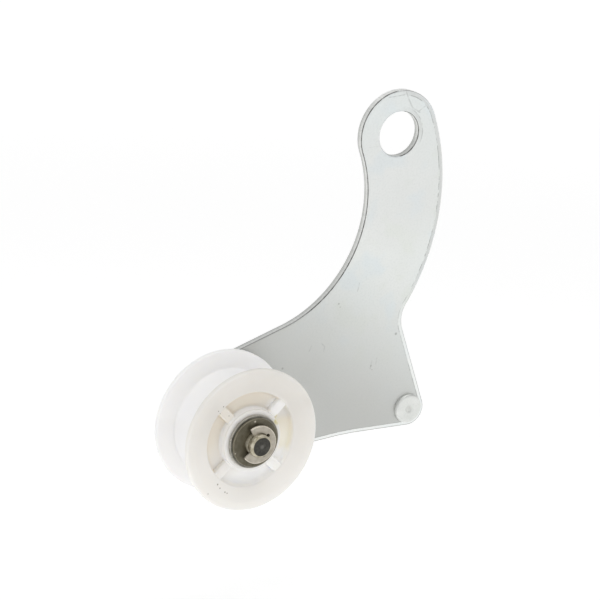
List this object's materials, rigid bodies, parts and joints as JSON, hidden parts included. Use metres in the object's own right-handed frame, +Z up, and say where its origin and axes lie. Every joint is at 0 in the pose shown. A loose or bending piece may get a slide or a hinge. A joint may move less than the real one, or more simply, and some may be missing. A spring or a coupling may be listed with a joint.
{
  "type": "belt tensioner idler",
  "caption": "Curved flat steel lever with a round pivot hole at one end, a flanged plastic belt pulley on a fixed stud at the other, and a spring post at its corner.",
  "frame": {"origin": "centre of the pivot hole on the lever's front face", "axes": "+Z up along the lever's height, +X to the right along the lever's bottom edge, -Y out of the lever's front face towards the pulley's free side"},
  "size_m": [0.1337, 0.0522, 0.1617],
  "materials": {
    "zinc_sheet": "bright zinc plate, lightly mottled and scratched",
    "zinc_post": "dull zinc plate",
    "white_plastic": "satin natural moulding, slightly translucent",
    "bronze": "oiled sintered bronze",
    "dark_steel": "turned steel with an oil film",
    "washer_steel": "plain steel, oily",
    "oily_steel": "brown oil film",
    "ring_steel": "phosphated spring steel"
  },
  "bodies": {
    "lever": {"lever_plate": "zinc_sheet", "pulley_stud": "dark_steel", "retaining_ring": "ring_steel", "spring_post": "zinc_post"},
    "wheel": {"pulley": "white_plastic", "bearing_bush": "bronze"},
    "back_washer": {"rear_washer": "washer_steel"},
    "front_washer": {"hub_washer": "washer_steel"},
    "end_washer": {"outer_washer": "oily_steel"}
  },
  "joints": [
    {"name": "pulley_spin", "type": "hinge", "parent": "lever", "child": "wheel", "pos_m": [-0.0793, -0.0168, -0.1132], "axis": [0, -1, 0], "continuous": true},
    {"name": "back_washer_spin", "type": "hinge", "parent": "lever", "child": "back_washer", "pos_m": [-0.0793, -0.0022, -0.1132], "axis": [0, -1, 0], "continuous": true},
    {"name": "front_washer_spin", "type": "hinge", "parent": "lever", "child": "front_washer", "pos_m": [-0.0793, -0.0312, -0.1132], "axis": [0, -1, 0], "continuous": true},
    {"name": "end_washer_spin", "type": "hinge", "parent": "lever", "child": "end_washer", "pos_m": [-0.0793, -0.0325, -0.1132], "axis": [0, -1, 0], "continuous": true}
  ]
}
